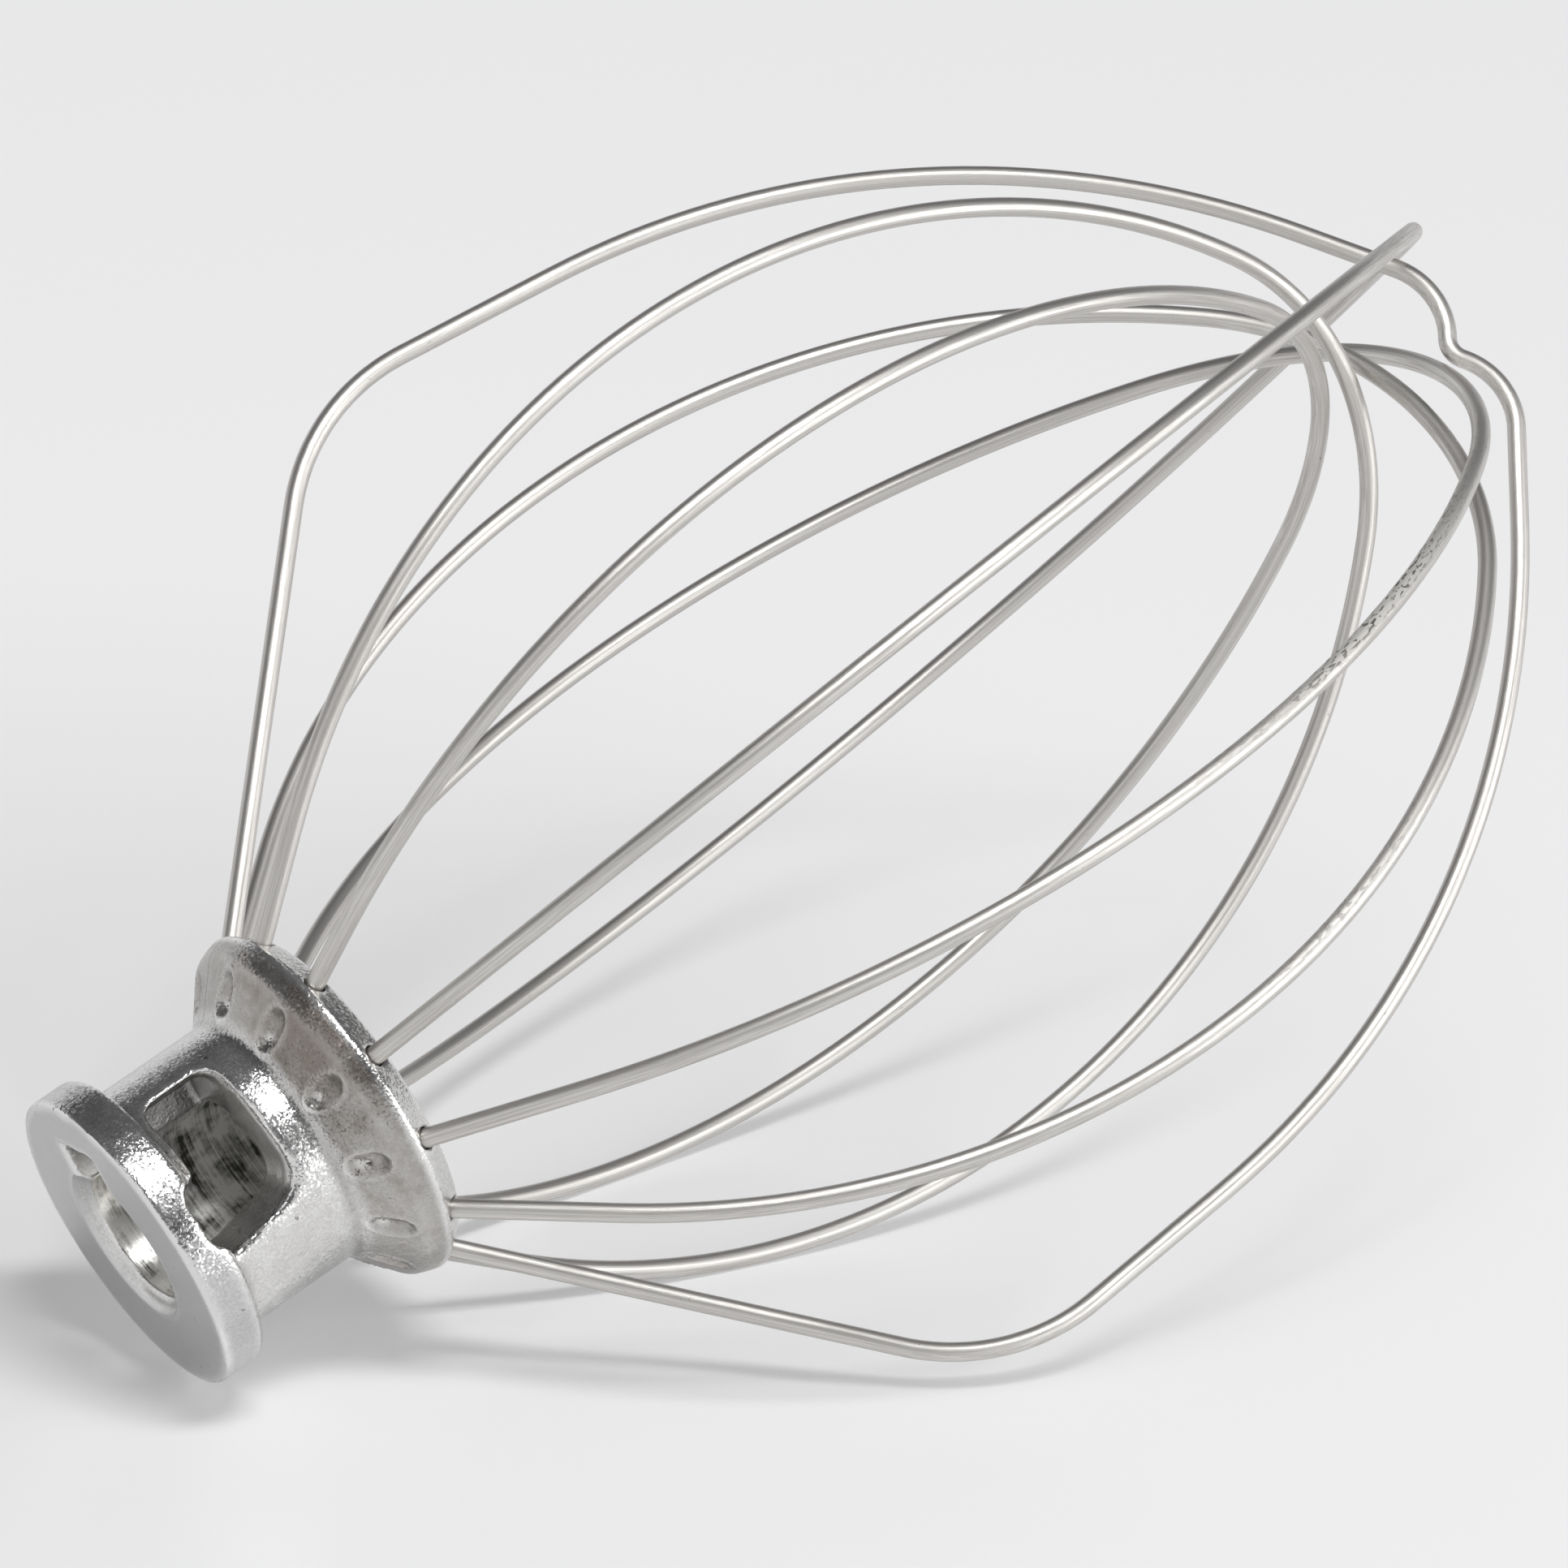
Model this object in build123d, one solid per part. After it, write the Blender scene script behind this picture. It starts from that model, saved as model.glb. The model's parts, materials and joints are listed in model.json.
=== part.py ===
from build123d import *
from math import atan2, cos, degrees, radians, sin, sqrt, tan
import os

# Wire whisk of a tilt-head stand mixer: a cast hub with a bayonet bore, and six wire loops
# whose ends are staked into sockets round the hub's ring. Millimetres.
# It is drawn on its own axis, with the drive flange's face at z = 0 and the loops above it,
# and laid down at the end as it comes to rest on a table.

# Drive end of the hub
shaft_diameter = 12.7
shaft_clearance = 0.1
mouth_chamfer = 0.6
bore_floor = 5.0
pin_diameter = 6.35
pin_clearance = 0.25
pin_reach = 10.4
pin_entry_turn = 30.0

# Outside of the hub, from the flange up to the ring
flange_diameter = 30.0
flange_thickness = 4.4
neck_diameter = 24.8
neck_length = 12.6
flare_reach = 4.8
flare_rise = 4.0
rim_reach = 0.7
rim_rise = 2.1
band_inset = 2.0
band_rise = 2.4
flange_face_edge = 0.4
flange_back_edge = 0.8
neck_root = 0.6
flare_root = 1.2
flare_edge = 1.5
rim_edge = 0.5
top_edge = 0.6

# Bayonet window, cast from the side: the pin turns in it and drops into the seat at its end
window_turn = 85.0
window_entry = 7.6
window_end = 7.6
window_slope = 1.4
window_lip = 1.4
window_height = 7.6
window_root = 2.0
window_corner = 1.6
seat_sink = 1.4
seat_corner = 2.0
seat_lip_edge = 0.7

# Wire sockets in the band, and the dimples that stake the wires
wire_diameter = 1.8
loop_step = 30.0
socket_clearance = 0.1
socket_depth = 6.0
stake_length = 4.4
stake_width = 2.6
stake_depth = 0.5

# Outer loop, with a shoulder low down, and a kink at the tip that clears the bowl's centre.
# Along and across shift a loop's tip in its own plane and out of it, as the wires are sprung.
# Each gap is the free height over the loop that is crossed, and drops are below the tip.
loop_1_gap = 0.2
loop_1_along = -2.0
loop_1_across = -1.0
loop_1_twist = -3.5
loop_1_shoulder_radius = 55.0
loop_1_shoulder_drop = 96.0
loop_1_shoulder_bend = 21.5
loop_1_belly_radius = 49.5
loop_1_belly_drop = 29.0
loop_1_nose_run = 9.5
loop_1_kink_radius = 5.5
loop_1_kink_height = 4.0
loop_1_kink_run = 0.3
loop_1_kink_bend = 2.0

# Plain loops: tip, belly, and the straight leg that leaves the socket
loop_2_gap = 1.7
loop_2_along = 2.5
loop_2_across = -0.5
loop_2_belly_radius = 45.0
loop_2_tip_bend = 27.0
loop_2_leg = 10.5

loop_3_height = 117.7
loop_3_along = 1.5
loop_3_across = -1.0
loop_3_belly_radius = 44.0
loop_3_tip_bend = 28.0
loop_3_leg = 5.5

loop_4_gap = 2.7
loop_4_along = -10.5
loop_4_across = -9.5
loop_4_belly_radius = 50.0
loop_4_tip_bend = 28.5
loop_4_leg = 8.0
loop_4_curl = 3.5

loop_5_gap = 4.2
loop_5_along = -6.5
loop_5_across = 3.0
loop_5_belly_radius = 47.0
loop_5_tip_bend = 36.0
loop_5_leg = 14.5

loop_6_gap = 1.2
loop_6_along = 4.5
loop_6_across = 0.0
loop_6_belly_radius = 46.0
loop_6_tip_bend = 31.5
loop_6_leg = 14.5

# The loops that it lies on, and the search for that pose
resting_loops = (2, 3)
rest_samples = 400
rest_steps = 30

# Worked out from the sizes above
bore_radius = shaft_diameter / 2 + shaft_clearance
slot_width = pin_diameter + 2 * pin_clearance
flange_radius = flange_diameter / 2
neck_radius = neck_diameter / 2
neck_top = flange_thickness + neck_length
flare_radius = neck_radius + flare_reach
flare_top = neck_top + flare_rise
rim_radius = flare_radius + rim_reach
rim_height = flare_top + rim_rise
hub_height = rim_height + band_rise
bore_depth = hub_height - bore_floor
window_floor = flange_thickness + window_lip
window_top = window_floor + window_height
seat_floor = flange_thickness - seat_sink
ring_radius = rim_radius - band_inset / 2
ring_height = rim_height + band_rise / 2
wire_radius = wire_diameter / 2
socket_radius = wire_radius + socket_clearance

# Tip heights over the ring: each loop crosses over the one before it
loop_2_height = loop_3_height + wire_diameter + loop_2_gap
loop_6_height = loop_2_height + wire_diameter + loop_6_gap
loop_5_height = loop_6_height + wire_diameter + loop_5_gap
loop_1_height = loop_5_height + wire_diameter + loop_1_gap
loop_4_height = loop_1_height + wire_diameter + loop_4_gap

origin = Vector(0, 0, 0)
ring_centre = Vector(0, 0, ring_height)


def turned(vector, about, angle):
    return vector.rotate(Axis(origin, about), angle)


def revolved(*points, radius):
    outline = FilletPolyline(*points, radius=radius, close=True)
    return revolve(Plane.XZ * make_face(outline), Axis.Z)


def hub_body():
    return revolved(
        (0, 0),
        (flange_radius, 0),
        (flange_radius, flange_thickness),
        (neck_radius, flange_thickness),
        (neck_radius, neck_top),
        (flare_radius, flare_top),
        (rim_radius, rim_height),
        (rim_radius - band_inset, hub_height),
        (0, hub_height),
        radius=[
            0, flange_face_edge, flange_back_edge, neck_root, flare_root, flare_edge, rim_edge, top_edge, 0
        ],
    )


def shaft_bore():
    return revolved(
        (0, 0),
        (bore_radius + mouth_chamfer, 0),
        (bore_radius, mouth_chamfer),
        (bore_radius, bore_depth),
        (0, bore_depth),
        radius=0,
    )


def pin_entry():
    slot = Box(pin_reach, slot_width, window_top, align=(Align.MIN, Align.CENTER, Align.MIN))
    return Rot(0, 0, pin_entry_turn) * slot


# The window is drawn as seen from outside, with the axis upright, and pushed in to its root
def bayonet_window():
    seat_start = window_end - slot_width
    outline = FilletPolyline(
        (-window_entry, window_floor),
        (seat_start, window_floor),
        (seat_start, seat_floor),
        (window_end, seat_floor),
        (window_end, window_floor),
        (window_end - window_slope, window_top),
        (-window_entry, window_top),
        radius=[window_corner, seat_lip_edge] + [seat_corner] * 2 + [window_corner] * 3,
        close=True,
    )
    up = Vector(0, 0, 1)
    outward = turned(Vector(1, 0, 0), up, window_turn)
    root = Plane(outward * window_root, x_dir=turned(outward, up, 90), z_dir=outward)
    return root * extrude(make_face(outline), flange_radius)


# A round-ended punch pressed into the flare along its slope
def stake():
    punch_radius = (stake_width**2 / 4 + stake_depth**2) / (2 * stake_depth)
    straight = stake_length - stake_width
    slope = Vector(flare_reach, 0, flare_rise).normalized()
    outward = Vector(flare_rise, 0, -flare_reach).normalized()
    middle = Vector((neck_radius + flare_radius) / 2, 0, (neck_top + flare_top) / 2)
    centre = middle + outward * (punch_radius - stake_depth)
    punch = Cylinder(punch_radius, straight)
    for end in (-1, 1):
        punch += Pos(0, 0, end * straight / 2) * Sphere(punch_radius)
    return Plane(centre, z_dir=slope) * punch


def socket(end, inner):
    length = socket_depth + wire_diameter
    drill = Cylinder(socket_radius, length, align=(Align.CENTER, Align.CENTER, Align.MIN))
    return Plane(inner, z_dir=end - inner) * drill


# A loop's own directions: its tip, the line from the ring to the tip, and its spread to one side
def loop_frame(number, height, along, across, twist=0.0):
    up = Vector(0, 0, 1)
    outward = turned(Vector(1, 0, 0), up, (number - 1) * loop_step)
    sideways = turned(outward, up, 90)
    tip = ring_centre + up * height + outward * along + sideways * across
    axis = (tip - ring_centre).normalized()
    spread = turned((outward - axis * axis.dot(outward)).normalized(), axis, twist)
    return outward, tip, axis, spread


def inner_end(end, towards):
    return end - (towards - end).normalized() * socket_depth


# One half of a plain loop: a straight leg, a side arc and a part of the tip's arc, all tangent.
# The side arc's radius follows from the leg, the belly and the tip.
def plain_half(hand, frame, belly, tip_bend, leg, curl):
    outward, tip, axis, spread = frame
    end = ring_centre + outward * hand * ring_radius
    out = spread * hand
    down = turned(axis * -1, spread, curl)
    reach = (end - ring_centre).dot(out)
    rise = (tip - end).dot(axis) - tip_bend
    hollow = (reach - tip_bend) / (belly - tip_bend)
    chord = (reach - belly) * (reach + tip_bend) + rise**2 - leg**2
    fall = chord / (rise + sqrt(rise**2 - hollow * chord))
    side_bend = (fall**2 / (belly - tip_bend) + belly + tip_bend) / 2
    turn = atan2(fall, side_bend - belly)
    join = tip + down * tip_bend + (out * cos(turn) - down * sin(turn)) * tip_bend
    along = out * sin(turn) + down * cos(turn)
    rest = end - join
    inward = (rest - along * rest.dot(along)).normalized()
    bend = (rest.dot(rest) - leg**2) / (2 * rest.dot(inward))
    centre = join + inward * bend
    aim = atan2(rest.dot(inward) - bend, rest.dot(along)) - atan2(leg, bend)
    start = radians(-90)

    def on_side(angle):
        return centre + (along * cos(angle) + inward * sin(angle)) * bend

    leg_end = on_side(aim)
    inner = inner_end(end, leg_end)
    side = ThreePointArc(leg_end, on_side((aim + start) / 2), join)
    return {"end": end, "inner": inner, "join": join, "edges": [Line(inner, leg_end), side]}


def plain_loop(number, height, along, across, belly, tip_bend, leg, curl=0.0):
    frame = loop_frame(number, height, along, across)
    near, far = [plain_half(hand, frame, belly, tip_bend, leg, curl) for hand in (1, -1)]
    cap = ThreePointArc(near["join"], frame[1], far["join"])
    path = Wire(near["edges"] + [cap] + far["edges"])
    return {"path": path, "ends": [(half["end"], half["inner"]) for half in (near, far)]}


# The outer loop: straight runs with rounded corners, kinked in at the tip
def outer_loop():
    outward, tip, axis, spread = loop_frame(1, loop_1_height, loop_1_along, loop_1_across, loop_1_twist)
    kink_slope = atan2(loop_1_kink_height, loop_1_kink_radius)
    kink_corner = tip - axis * loop_1_kink_bend * (1 / cos(kink_slope) - 1)
    ends = []
    halves = []
    for hand in (1, -1):
        end = ring_centre + outward * hand * ring_radius
        out = spread * hand
        fall = end - tip
        down = (fall - out * fall.dot(out)).normalized()
        nose = kink_corner + out * loop_1_kink_radius - down * loop_1_kink_height
        belly = tip + out * loop_1_belly_radius + down * loop_1_belly_drop
        shoulder = tip + out * loop_1_shoulder_radius + down * loop_1_shoulder_drop
        ends.append((end, inner_end(end, shoulder)))
        halves.append([ends[-1][1], shoulder, belly, nose])
    inner, shoulder, belly, nose = halves[0]
    kink_length = (nose - kink_corner).length - loop_1_kink_run
    nose_length = kink_length - loop_1_kink_bend * tan(kink_slope)
    nose_bend = nose_length / tan(half_turn(belly, nose, kink_corner))
    belly_length = (nose - belly).length - nose_length - loop_1_nose_run
    belly_bend = belly_length / tan(half_turn(shoulder, belly, nose))
    bends = [loop_1_shoulder_bend, belly_bend, nose_bend]
    path = FilletPolyline(
        *halves[0],
        kink_corner,
        *reversed(halves[1]),
        radius=bends + [loop_1_kink_bend] + bends[::-1],
    )
    return {"path": path, "ends": ends}


def half_turn(before, corner, after):
    return radians((corner - before).get_angle(after - corner)) / 2


def wire(loop):
    path = loop["path"]
    return sweep(Plane(path @ 0, z_dir=path % 0) * Circle(wire_radius), path=path)


def hub(loops):
    body = hub_body() - shaft_bore() - pin_entry() - bayonet_window()
    for loop in loops:
        for end, inner in loop["ends"]:
            body -= socket(end, inner)
            body -= Rot(0, 0, degrees(atan2(end.Y, end.X))) * stake()
    return body


# It lies on the flange's edge and on the far halves of two loops
def resting_floor(loops):
    edge = Pos(0, 0, flange_face_edge) * CenterArc((0, 0), flange_radius - flange_face_edge, 0, 360)
    tubes = [(edge, flange_face_edge)]
    tubes += [(loops[number - 1]["path"], wire_radius) for number in resting_loops]
    feet = [([path @ (i / rest_samples) for i in range(rest_samples)], radius) for path, radius in tubes]
    up = sum((loops[number - 1]["ends"][0][0] for number in resting_loops), origin) - ring_centre * 2
    for _ in range(rest_steps):
        first, second, third = [min(points, key=up.dot) - up * radius for points, radius in feet]
        level = (second - first).cross(third - first).normalized()
        up = level if level.dot(up) > 0 else level * -1
    axis = Vector(0, 0, 1)
    return Plane(first, x_dir=axis - up * axis.dot(up), z_dir=up)


loops = [
    outer_loop(),
    plain_loop(
        2, loop_2_height, loop_2_along, loop_2_across, loop_2_belly_radius, loop_2_tip_bend, loop_2_leg
    ),
    plain_loop(
        3, loop_3_height, loop_3_along, loop_3_across, loop_3_belly_radius, loop_3_tip_bend, loop_3_leg
    ),
    plain_loop(
        4, loop_4_height, loop_4_along, loop_4_across, loop_4_belly_radius, loop_4_tip_bend, loop_4_leg,
        loop_4_curl,
    ),
    plain_loop(
        5, loop_5_height, loop_5_along, loop_5_across, loop_5_belly_radius, loop_5_tip_bend, loop_5_leg
    ),
    plain_loop(
        6, loop_6_height, loop_6_along, loop_6_across, loop_6_belly_radius, loop_6_tip_bend, loop_6_leg
    ),
]

nodes = {"hub": hub(loops)}
for number, loop in enumerate(loops, start=1):
    nodes[f"wire_loop_{number}"] = wire(loop)

floor = resting_floor(loops)
laid = {name: floor.to_local_coords(solid) for name, solid in nodes.items()}
box = Compound(list(laid.values())).bounding_box()
place = Pos(-box.center().X, -box.center().Y, -box.min.Z)

os.makedirs("parts", exist_ok=True)
for name, solid in laid.items():
    export_step(place * solid, f"parts/{name}.step")
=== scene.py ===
import json
from math import atan2, cos, pi, radians, sin, sqrt, tan
import bmesh
import bpy
import numpy as np
from mathutils import Matrix, Quaternion, Vector, noise


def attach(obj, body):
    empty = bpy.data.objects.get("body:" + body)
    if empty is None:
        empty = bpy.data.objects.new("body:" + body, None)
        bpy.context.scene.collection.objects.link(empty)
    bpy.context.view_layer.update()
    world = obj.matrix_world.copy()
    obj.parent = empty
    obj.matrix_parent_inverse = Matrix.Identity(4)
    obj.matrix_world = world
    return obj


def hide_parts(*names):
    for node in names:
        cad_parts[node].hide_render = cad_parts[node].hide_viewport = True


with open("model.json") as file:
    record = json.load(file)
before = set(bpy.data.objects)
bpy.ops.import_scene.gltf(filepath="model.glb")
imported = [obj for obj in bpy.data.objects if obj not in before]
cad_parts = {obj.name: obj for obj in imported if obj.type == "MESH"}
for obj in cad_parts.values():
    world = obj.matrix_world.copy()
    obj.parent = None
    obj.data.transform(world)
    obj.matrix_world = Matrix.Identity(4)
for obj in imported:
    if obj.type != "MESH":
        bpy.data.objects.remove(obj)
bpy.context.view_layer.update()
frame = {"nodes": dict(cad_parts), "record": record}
mm = 0.001

# Where the whisk's own axis lies, read from the mounts: the flange face is at height 0
whisk = {
    "boreHeight": 16.9,
    "faceMountTurn": 225.0,
}
mounts = {mount["name"]: mount for mount in frame["record"]["mounts"]}
axisWay = -Vector(mounts["shaft_bore"]["axis"]).normalized()
whiskPlace = Vector(mounts["shaft_bore"]["pos_m"]) - axisWay * whisk["boreHeight"] * mm
mountWay = Vector(mounts["flange_face"]["pos_m"]) - whiskPlace
mountWay = (mountWay - axisWay * mountWay.dot(axisWay)).normalized()
firstWay = Quaternion(axisWay, radians(-whisk["faceMountTurn"])) @ mountWay
whiskTurn = Matrix((firstWay, axisWay.cross(firstWay), axisWay)).transposed()
print("stage: frame loaded")


def linked(name, data):
    piece = bpy.data.objects.new(name, data)
    bpy.context.scene.collection.objects.link(piece)
    return piece


def toRow(point):
    return whiskPlace + whiskTurn @ point * mm


def addNode(tree, kind, **values):
    node = tree.nodes.new("ShaderNode" + kind)
    for name, value in values.items():
        if name in node.inputs:
            node.inputs[name].default_value = value
        else:
            setattr(node, name, value)
    return node


def feed(tree, source, node, socket):
    tree.links.new(source, node.inputs[socket])


# A link where the source is a node's output, a plain value where it isn't
def plug(tree, source, socket):
    if isinstance(source, bpy.types.NodeSocket):
        tree.links.new(source, socket)
    else:
        socket.default_value = source


def worked(tree, operation, first, second, clamp=False):
    node = addNode(tree, "Math", operation=operation, use_clamp=clamp)
    for source, socket in zip((first, second), node.inputs):
        plug(tree, source, socket)
    return node.outputs[0]


def shareOf(tree, value, share):
    return worked(tree, "MULTIPLY", value, share)


def plusShare(tree, base, value, share, clamp=False):
    return worked(tree, "ADD", base, shareOf(tree, value, share), clamp)


def vectorWorked(tree, operation, first, second=None, socket=1, result="Vector"):
    node = addNode(tree, "VectorMath", operation=operation)
    plug(tree, first, node.inputs[0])
    if second is not None:
        plug(tree, second, node.inputs[socket])
    return node.outputs[result]


def stretched(tree, vector, scale):
    return vectorWorked(tree, "MULTIPLY", vector, scale)


# The Mix node's colour sockets share their names with its other kinds, so they go by number
colourMix = {"mask": 0, "first": 6, "second": 7, "mixed": 2}


def mixedColour(tree, mask, first, second):
    node = addNode(tree, "Mix", data_type="RGBA")
    for name, source in (("mask", mask), ("first", first), ("second", second)):
        plug(tree, source, node.inputs[colourMix[name]])
    return node.outputs[colourMix["mixed"]]


def relief(tree, height, distance, strength=1.0, below=None):
    node = addNode(tree, "Bump", Strength=strength, Distance=distance)
    feed(tree, height, node, "Height")
    if below:
        feed(tree, below, node, "Normal")
    return node.outputs["Normal"]


def attribute(tree, name):
    return addNode(tree, "Attribute", attribute_name=name)


def newMaterial(name):
    material = bpy.data.materials.new(name)
    material.use_nodes = True
    return material, material.node_tree, material.node_tree.nodes["Principled BSDF"]


def newGroup(name, inputs, output):
    tree = bpy.data.node_groups.new(name, "ShaderNodeTree")
    for socket, kind in inputs.items():
        tree.interface.new_socket(name=socket, in_out="INPUT", socket_type="NodeSocket" + kind)
    tree.interface.new_socket(name=output, in_out="OUTPUT", socket_type="NodeSocketFloat")
    return tree, tree.nodes.new("NodeGroupInput").outputs, tree.nodes.new("NodeGroupOutput").inputs[0]


# The two noises that the metals and the table share
noiseShape = {
    "toneRoughness": 0.6,
    "toneRange": (0.32, 0.68),
    "speckDetail": 2.0,
    "speckRoughness": 0.5,
}


# Uneven tone: smooth noise spread between two values
def mottleGroup():
    inputs = {"Vector": "Vector", "Scale": "Float", "Detail": "Float", "Low": "Float", "High": "Float"}
    tree, given, result = newGroup("unevenTone", inputs, "Value")
    cloud = addNode(tree, "TexNoise", Roughness=noiseShape["toneRoughness"])
    for socket in ("Vector", "Scale", "Detail"):
        feed(tree, given[socket], cloud, socket)
    low, high = noiseShape["toneRange"]
    spread = addNode(tree, "MapRange", **{"From Min": low, "From Max": high})
    feed(tree, cloud.outputs["Fac"], spread, "Value")
    feed(tree, given["Low"], spread, "To Min")
    feed(tree, given["High"], spread, "To Max")
    tree.links.new(spread.outputs["Result"], result)
    return tree


# Pits and specks: the peaks of a fine noise, cut off at a threshold
def speckGroup():
    inputs = {"Vector": "Vector", "Scale": "Float", "Threshold": "Float", "Softness": "Float"}
    tree, given, result = newGroup("scatteredSpecks", inputs, "Mask")
    detail, roughness = noiseShape["speckDetail"], noiseShape["speckRoughness"]
    cloud = addNode(tree, "TexNoise", Detail=detail, Roughness=roughness)
    feed(tree, given["Vector"], cloud, "Vector")
    feed(tree, given["Scale"], cloud, "Scale")
    step = addNode(tree, "MapRange", interpolation_type="SMOOTHSTEP")
    feed(tree, cloud.outputs["Fac"], step, "Value")
    feed(tree, given["Threshold"], step, "From Min")
    feed(tree, worked(tree, "ADD", given["Threshold"], given["Softness"]), step, "From Max")
    tree.links.new(step.outputs["Result"], result)
    return tree


unevenTone = mottleGroup()
scatteredSpecks = speckGroup()


def grouped(tree, group, vector, **values):
    node = tree.nodes.new("ShaderNodeGroup")
    node.node_tree = group
    for name, value in values.items():
        node.inputs[name].default_value = value
    feed(tree, vector, node, "Vector")
    return node.outputs[0]


def mottled(tree, vector, scale, detail, low=0.0, high=1.0):
    return grouped(tree, unevenTone, vector, Scale=scale, Detail=detail, Low=low, High=high)


def specked(tree, vector, scale, threshold, softness):
    return grouped(tree, scatteredSpecks, vector, Scale=scale, Threshold=threshold, Softness=softness)


# Camera, at the photo's angle
camera = {
    "place": (-0.45319, -0.58485, 0.40353),
    "right": (0.81135, -0.57962, 0.07581),
    "down": (-0.19997, -0.39707, -0.89574),
    "forward": (0.54929, 0.71160, -0.43808),
    "lens": 204.97,
    "sensor": 36.0,
    "clip": (0.02, 20.0),
}


def addCamera():
    data = bpy.data.cameras.new("photoCamera")
    data.lens = camera["lens"]
    data.sensor_width = camera["sensor"]
    data.clip_start, data.clip_end = camera["clip"]
    piece = linked("photoCamera", data)
    right, down, forward = (Vector(camera[way]) for way in ("right", "down", "forward"))
    turn = Matrix((right, -down, -forward)).transposed()
    piece.matrix_world = Matrix.Translation(camera["place"]) @ turn.to_4x4()
    bpy.context.scene.camera = piece


addCamera()
print("stage: camera")


# Wire loops, in millimetres on the whisk's own axis: spring wire bent to lines and arcs
wires = {
    "radius": 0.9,
    "ringRadius": 16.9,
    "ringHeight": 24.3,
    "step": 30.0,
    "socketDepth": 6.0,
    "ringsPerBend": 36,
    "roundness": 10,
    "leastTurn": 0.0001,
    "outer": {
        "height": 132.2, "along": -2.0, "across": -1.0, "twist": -3.5,
        "shoulder": (55.0, 96.0, 21.5), "belly": (49.5, 29.0), "noseRun": 9.5,
        "kinkRadius": 5.5, "kinkHeight": 4.0, "kinkRun": 0.3, "kinkBend": 2.0,
    },
    "plain": {
        2: {"height": 121.2, "along": 2.5, "across": -0.5, "belly": 45.0, "tipBend": 27.0, "leg": 10.5},
        3: {"height": 117.7, "along": 1.5, "across": -1.0, "belly": 44.0, "tipBend": 28.0, "leg": 5.5},
        4: {"height": 136.7, "along": -10.5, "across": -9.5, "belly": 50.0, "tipBend": 28.5, "leg": 8.0,
            "curl": 3.5},
        5: {"height": 130.2, "along": -6.5, "across": 3.0, "belly": 47.0, "tipBend": 36.0, "leg": 14.5},
        6: {"height": 124.2, "along": 4.5, "across": 0.0, "belly": 46.0, "tipBend": 31.5, "leg": 14.5},
    },
    "pitted": {5: (0.56, 20.0, 1.0), 6: (0.3, 14.0, 0.45)},  # share of the side, reach, strength
    "unpitted": (0.0, 1.0, 0.0),
    "pittedSide": (-0.38, 0.67, 0.62),
    "pittedEdge": (-0.4, 0.2),
}
ringCentre = Vector((0, 0, wires["ringHeight"]))


def turned(vector, about, degrees):
    return Quaternion(about, radians(degrees)) @ vector


def loopFrame(number, size):
    up = Vector((0, 0, 1))
    outward = turned(Vector((1, 0, 0)), up, (number - 1) * wires["step"])
    sideways = up.cross(outward)
    tip = ringCentre + up * size["height"] + outward * size["along"] + sideways * size["across"]
    axis = (tip - ringCentre).normalized()
    spread = turned((outward - axis * axis.dot(outward)).normalized(), axis, size.get("twist", 0.0))
    return outward, tip, axis, spread


# One half of a plain loop as places and headings, from the socket up to the tip's arc
def plainHalf(hand, ways, size):
    outward, tip, axis, spread = ways
    belly, tipBend, leg = size["belly"], size["tipBend"], size["leg"]
    end = ringCentre + outward * hand * wires["ringRadius"]
    out = spread * hand
    down = turned(-axis, spread, size.get("curl", 0.0))
    reach = (end - ringCentre).dot(out)
    rise = (tip - end).dot(axis) - tipBend
    hollow = (reach - tipBend) / (belly - tipBend)
    chord = (reach - belly) * (reach + tipBend) + rise**2 - leg**2
    fall = chord / (rise + sqrt(rise**2 - hollow * chord))
    sideBend = (fall**2 / (belly - tipBend) + belly + tipBend) / 2
    turn = atan2(fall, sideBend - belly)
    join = tip + down * tipBend + (out * cos(turn) - down * sin(turn)) * tipBend
    along = out * sin(turn) + down * cos(turn)
    rest = end - join
    inward = (rest - along * rest.dot(along)).normalized()
    bend = (rest.dot(rest) - leg**2) / (2 * rest.dot(inward))
    centre = join + inward * bend
    aim = atan2(rest.dot(inward) - bend, rest.dot(along)) - atan2(leg, bend)

    def onSide(angle):
        place = centre + (along * cos(angle) + inward * sin(angle)) * bend
        return place, along * sin(angle) - inward * cos(angle)

    legEnd, heading = onSide(aim)
    middle = onSide((aim - pi / 2) / 2)
    return [(end - heading * wires["socketDepth"], heading), (legEnd, heading), middle, (join, -along)]


def plainKnots(number, size):
    ways = loopFrame(number, size)
    _, tip, _, spread = ways
    near, far = (plainHalf(hand, ways, size) for hand in (1, -1))
    return near + [(tip, -spread)] + [(place, -heading) for place, heading in reversed(far)]


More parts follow.
